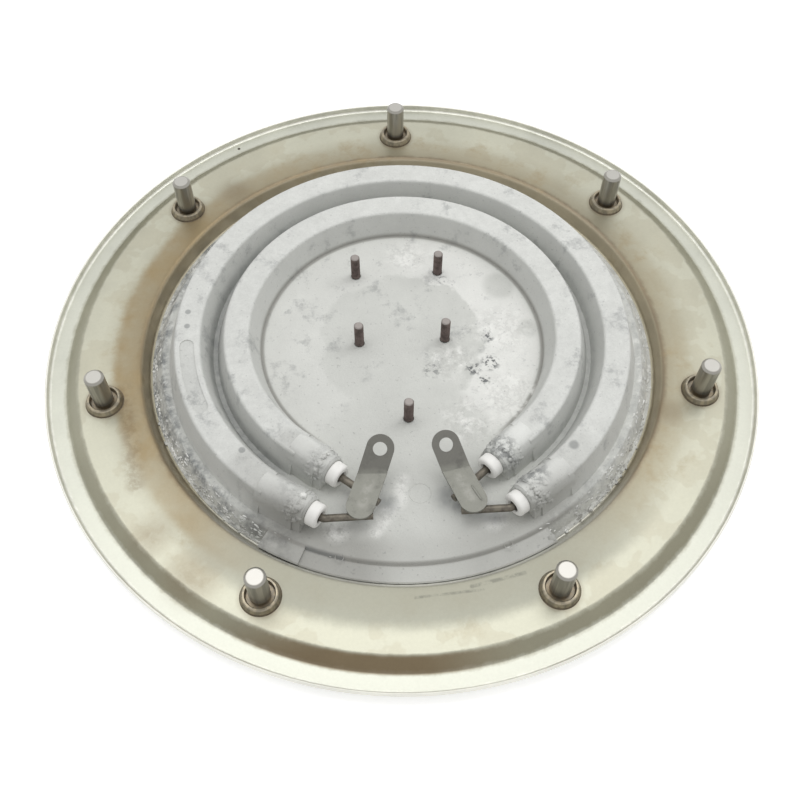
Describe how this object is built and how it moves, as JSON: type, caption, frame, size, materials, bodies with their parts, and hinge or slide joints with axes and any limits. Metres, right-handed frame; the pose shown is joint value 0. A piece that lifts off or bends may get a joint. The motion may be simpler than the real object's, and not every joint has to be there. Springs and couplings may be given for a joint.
{
  "type": "water urn heating element",
  "caption": "Round heated base plate for a water urn: cast heating plate with ringed tubular elements on a studded stainless disc.",
  "frame": {"origin": "on the disc's axis, at the underside of the well (the water side)", "axes": "+Z along the disc's axis, out of the dry side where the studs stand; -Y toward the terminals"},
  "size_m": [0.3, 0.3, 0.0254],
  "materials": {
    "stainless_sheet": "satin, heat tinted",
    "flange_stud_steel": "satin",
    "cast_aluminium": "chalky as cast",
    "stud_steel": "dull, tarnished",
    "sheath_steel": "dull",
    "packed_powder": "matt",
    "resistance_wire": "oxidised",
    "terminal_steel": "dull",
    "pin_steel": "dull, oxidised",
    "end_seal": "matt",
    "white_ceramic": "matt"
  },
  "bodies": {
    "root": {"base_disc": "stainless_sheet", "flange_studs": "flange_stud_steel", "heating_plate": "cast_aluminium", "control_studs": "stud_steel", "outer_sheath": "sheath_steel", "inner_sheath": "sheath_steel", "outer_fill": "packed_powder", "inner_fill": "packed_powder", "outer_coil": "resistance_wire", "inner_coil": "resistance_wire", "terminal_left": "terminal_steel", "terminal_right": "terminal_steel", "outer_pin_left": "pin_steel", "outer_seal_left": "end_seal", "outer_bead_left": "white_ceramic", "outer_pin_right": "pin_steel", "outer_seal_right": "end_seal", "outer_bead_right": "white_ceramic", "inner_pin_left": "pin_steel", "inner_seal_left": "end_seal", "inner_bead_left": "white_ceramic", "inner_pin_right": "pin_steel", "inner_seal_right": "end_seal", "inner_bead_right": "white_ceramic"}
  },
  "joints": []
}
